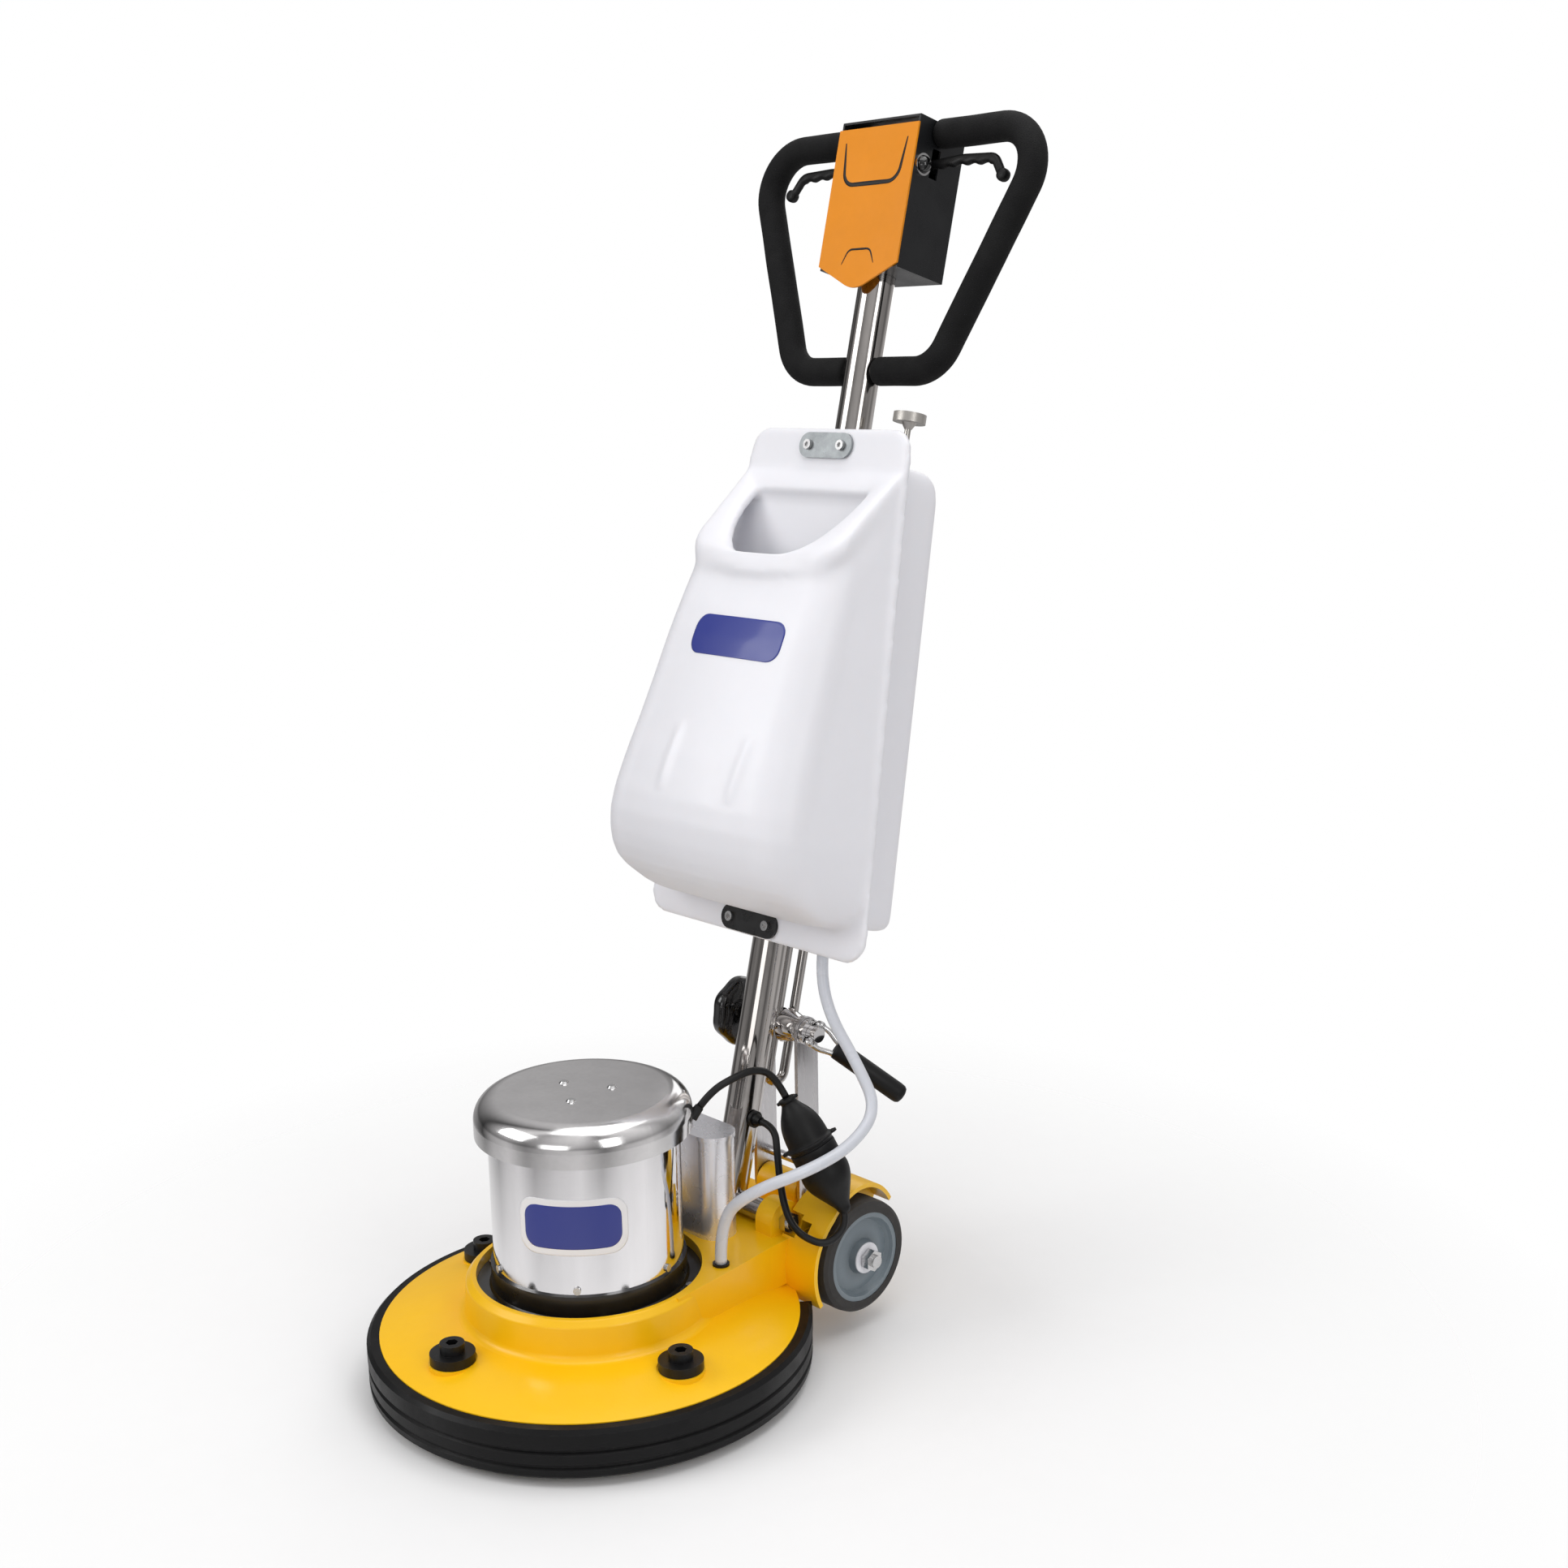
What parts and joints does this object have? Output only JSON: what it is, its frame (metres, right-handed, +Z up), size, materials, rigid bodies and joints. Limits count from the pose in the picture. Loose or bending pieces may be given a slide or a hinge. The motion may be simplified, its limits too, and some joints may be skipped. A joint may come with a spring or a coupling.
{
  "type": "rotary floor machine",
  "caption": "Upright rotary floor scrubber and polisher: round brush deck under a motor, tilting handle column with a solution tank, loop handle with start levers, and transport wheels.",
  "frame": {"origin": "centre of the brush's face on the floor, on the motor's axis", "axes": "+Z up; +Y back, from the deck to the wheels and the operator; +X to the right seen from the front"},
  "size_m": [0.47, 0.7695, 1.3026],
  "materials": {
    "yellow_paint": "gloss casting enamel",
    "orange_paint": "satin",
    "black_paint": "satin",
    "bumper_rubber": "satin moulded rubber",
    "cord_rubber": "semi-matt sheath",
    "grip_foam": "matt closed-cell foam",
    "black_plastic": "fine texture",
    "red_plastic": "gloss",
    "bristle": "tufted filament",
    "tank_plastic": "satin rotomoulded",
    "hose_plastic": "translucent soft hose",
    "polished": "mirror",
    "stainless": "brushed",
    "box_paint": "light grey enamel",
    "capacitor_can": "plain",
    "motor_steel": "laminated steel and wire",
    "gear_steel": "ground",
    "valve_brass": "turned",
    "wheel_grey": "satin",
    "tyre_rubber": "matt"
  },
  "bodies": {
    "base": {"deck_casting": "yellow_paint", "bumper_skirt": "bumper_rubber", "deck_knobs": "black_plastic", "motor_dish": "black_paint", "lower_end_bell": "yellow_paint", "motor_can": "polished", "motor_cap": "polished", "motor_screws": "stainless", "stator": "motor_steel", "upper_end_bell": "capacitor_can", "motor_bearings": "gear_steel", "gear_case": "gear_steel", "capacitor_box": "box_paint", "capacitors": "capacitor_can", "pivot_pins": "stainless", "lock_nuts": "polished", "hose_spigot": "stainless", "pigtail_gland": "cord_rubber", "motor_pigtail": "cord_rubber", "inline_plug": "cord_rubber", "inline_socket": "cord_rubber", "column_lead": "cord_rubber"},
    "rotor": {"rotor_core": "motor_steel", "motor_shaft": "gear_steel", "cooling_fan": "capacitor_can"},
    "brush": {"planet_carrier": "gear_steel", "drive_plate": "gear_steel", "brush_block": "black_plastic", "brush_bristles": "bristle"},
    "planet_a": {"planet_gear_a": "gear_steel"},
    "planet_b": {"planet_gear_b": "gear_steel"},
    "planet_c": {"planet_gear_c": "gear_steel"},
    "column": {"column_tube": "polished", "clamp_track": "stainless", "solution_tank": "tank_plastic", "tank_plates": "stainless", "column_bolts": "stainless", "handle_loop": "stainless", "foam_grips": "grip_foam", "control_case": "black_paint", "front_plate": "orange_paint", "rear_cover": "black_paint", "switch_unit": "black_plastic", "button_ring": "black_plastic", "lead_grommet": "cord_rubber", "mains_gland": "black_plastic", "tank_valve": "valve_brass", "tank_hose": "hose_plastic"},
    "lever_right": {"start_lever_right": "stainless"},
    "lever_left": {"start_lever_left": "stainless"},
    "button": {"safety_button": "red_plastic"},
    "valve": {"valve_rod": "polished"},
    "clamp": {"clamp_bolt": "polished"},
    "knob": {"clamp_knob": "black_plastic"},
    "lever": {"clamp_lever": "stainless"},
    "strut": {"struts": "stainless"},
    "wheel_right": {"wheel_hub_right": "wheel_grey", "tyre_right": "tyre_rubber"},
    "wheel_left": {"wheel_hub_left": "wheel_grey", "tyre_left": "tyre_rubber"}
  },
  "joints": [
    {"name": "brush_spin", "type": "hinge", "parent": "base", "child": "brush", "pos_m": [0, 0, 0.04], "axis": [0, 0, 1], "continuous": true},
    {"name": "rotor_spin", "type": "hinge", "parent": "base", "child": "rotor", "pos_m": [0, 0, 0.19], "axis": [0, 0, 1], "continuous": true},
    {"name": "planet_a_spin", "type": "hinge", "parent": "brush", "child": "planet_a", "pos_m": [0.036, 0, 0.089], "axis": [0, 0, 1], "continuous": true},
    {"name": "planet_b_spin", "type": "hinge", "parent": "brush", "child": "planet_b", "pos_m": [-0.018, 0.03118, 0.089], "axis": [0, 0, 1], "continuous": true},
    {"name": "planet_c_spin", "type": "hinge", "parent": "brush", "child": "planet_c", "pos_m": [-0.018, -0.03118, 0.089], "axis": [0, 0, 1], "continuous": true},
    {"name": "handle_tilt", "type": "hinge", "parent": "base", "child": "column", "pos_m": [0, 0.19957, 0.12961], "axis": [-1, 0, 0], "range_deg": [-6, 30], "deforming": ["tank_hose", "column_lead"]},
    {"name": "strut_swing", "type": "hinge", "parent": "base", "child": "strut", "pos_m": [0, 0.29, 0.115], "axis": [-1, 0, 0], "range_deg": [-7.5, 35]},
    {"name": "clamp_slide", "type": "slide", "parent": "column", "child": "clamp", "axis": [0, 0.2448, 0.9696], "range_m": [-0.0105, 0.05]},
    {"name": "clamp_knob_turn", "type": "hinge", "parent": "clamp", "child": "knob", "pos_m": [-0.07, 0.28961, 0.31057], "axis": [1, 0, 0], "range_deg": [-180, 180]},
    {"name": "clamp_lever_swing", "type": "hinge", "parent": "clamp", "child": "lever", "pos_m": [0.0505, 0.28961, 0.31057], "axis": [0, 0.7452, 0.6668], "range_deg": [-40, 35]},
    {"name": "lever_right_pull", "type": "hinge", "parent": "column", "child": "lever_right", "pos_m": [0.047, 0.48244, 1.24995], "axis": [0, -0.9696, 0.2448], "range_deg": [0, 7], "stiffness_Nm_per_rad": 2, "springref_deg": -6.88},
    {"name": "lever_left_pull", "type": "hinge", "parent": "column", "child": "lever_left", "pos_m": [-0.047, 0.48244, 1.24995], "axis": [0, 0.9696, -0.2448], "range_deg": [0, 7], "stiffness_Nm_per_rad": 2, "springref_deg": -6.88},
    {"name": "button_press", "type": "slide", "parent": "column", "child": "button", "axis": [-1, 0, 0], "range_m": [0, 0.0035], "stiffness_N_per_m": 400, "springref_m": -0.002},
    {"name": "valve_pull", "type": "slide", "parent": "column", "child": "valve", "axis": [0, 0.2448, 0.9696], "range_m": [0, 0.02]},
    {"name": "wheel_right_roll", "type": "hinge", "parent": "base", "child": "wheel_right", "pos_m": [0.132, 0.262, 0.085], "axis": [1, 0, 0], "continuous": true},
    {"name": "wheel_left_roll", "type": "hinge", "parent": "base", "child": "wheel_left", "pos_m": [-0.132, 0.262, 0.085], "axis": [1, 0, 0], "continuous": true}
  ],
  "couplings": [
    {"joint": "rotor_spin", "follows": "brush_spin", "ratio": 8},
    {"joint": "planet_a_spin", "follows": "brush_spin", "ratio": -2.3333},
    {"joint": "planet_b_spin", "follows": "brush_spin", "ratio": -2.3333},
    {"joint": "planet_c_spin", "follows": "brush_spin", "ratio": -2.3333},
    {"joint": "strut_swing", "follows": "handle_tilt", "ratio": 1.1377},
    {"joint": "clamp_slide", "follows": "handle_tilt", "m_per_rad": 0.09205}
  ]
}
